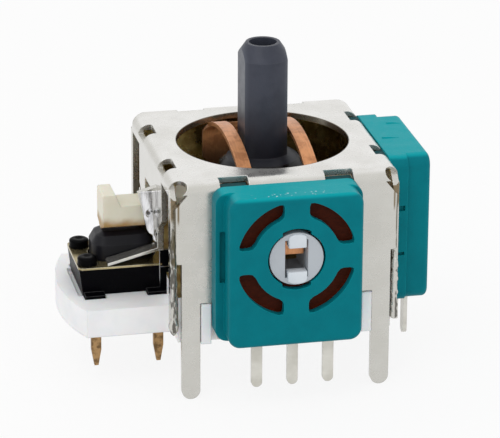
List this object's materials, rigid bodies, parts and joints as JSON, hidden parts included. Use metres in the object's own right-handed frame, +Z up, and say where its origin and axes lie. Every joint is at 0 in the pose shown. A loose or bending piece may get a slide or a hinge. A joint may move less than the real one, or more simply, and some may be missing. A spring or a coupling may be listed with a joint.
{
  "type": "controller analog stick",
  "caption": "Two-axis thumb stick module: folded metal can, slotted arch and gimbal round a flatted stem, side potentiometers and a push switch under a side lever.",
  "frame": {"origin": "under the middle of the can, at the face that seats on the circuit board", "axes": "+Z up along the stem, -Y towards the front potentiometer, +X towards the right one, -X towards the push switch"},
  "size_m": [0.0257, 0.019, 0.023],
  "materials": {
    "tinned_steel": "tinned sheet, satin",
    "white_plastic": "matt moulded",
    "teal_plastic": "satin moulded",
    "phenolic": "phenolic laminate",
    "tinned_terminal": "tinned",
    "grey_plastic": "satin moulded",
    "spring_steel": "spring sheet",
    "copper_sheet": "copper coloured sheet",
    "cream_plastic": "natural moulded",
    "stem_plastic": "satin moulded",
    "pin_steel": "ground",
    "plate_plastic": "matt moulded",
    "black_plastic": "satin moulded",
    "cover_steel": "tinned sheet",
    "button_plastic": "satin moulded",
    "terminal_brass": "brass"
  },
  "bodies": {
    "root": {"metal_can": "tinned_steel", "base": "white_plastic", "front_pot_housing": "teal_plastic", "front_resistor_plate": "phenolic", "front_pot_terminals": "tinned_terminal", "right_pot_housing": "teal_plastic", "right_resistor_plate": "phenolic", "right_pot_terminals": "tinned_terminal", "switch_body": "black_plastic", "switch_cover": "cover_steel", "switch_terminals": "terminal_brass", "switch_dome": "spring_steel", "return_spring": "spring_steel"},
    "plate": {"spring_plate": "plate_plastic"},
    "gimbal": {"lower_gimbal": "cream_plastic", "stem_pin": "pin_steel"},
    "stick": {"stem": "stem_plastic"},
    "arch": {"gimbal_arch": "copper_sheet", "front_rotor": "grey_plastic", "front_wiper": "spring_steel"},
    "side_rotor": {"right_rotor": "grey_plastic", "right_wiper": "spring_steel"},
    "button": {"switch_button": "button_plastic"}
  },
  "joints": [
    {"name": "stem_press", "type": "slide", "parent": "root", "child": "plate", "axis": [0, 0, -1], "range_m": [0, 0.0003], "stiffness_N_per_m": 2000, "springref_m": -0.0005, "deforming": ["return_spring"]},
    {"name": "tilt_y", "type": "hinge", "parent": "plate", "child": "gimbal", "pos_m": [0, 0, 0.0069], "axis": [1, 0, 0], "range_deg": [-20, 20], "stiffness_Nm_per_rad": 0.005},
    {"name": "tilt_x", "type": "hinge", "parent": "gimbal", "child": "stick", "pos_m": [0, 0, 0.0069], "axis": [0, 1, 0], "range_deg": [-20, 20], "stiffness_Nm_per_rad": 0.005},
    {"name": "arch_turn", "type": "hinge", "parent": "root", "child": "arch", "pos_m": [0, 0, 0.0069], "axis": [0, 1, 0], "range_deg": [-20, 20]},
    {"name": "side_rotor_turn", "type": "hinge", "parent": "root", "child": "side_rotor", "pos_m": [0, 0, 0.0069], "axis": [1, 0, 0], "range_deg": [-20, 20]},
    {"name": "button_press", "type": "slide", "parent": "root", "child": "button", "axis": [0, 0, -1], "range_m": [0, 0.0003]}
  ],
  "couplings": [
    {"joint": "arch_turn", "follows": "tilt_x", "ratio": 1},
    {"joint": "side_rotor_turn", "follows": "tilt_y", "ratio": 1},
    {"joint": "button_press", "follows": "stem_press", "ratio": 1}
  ]
}
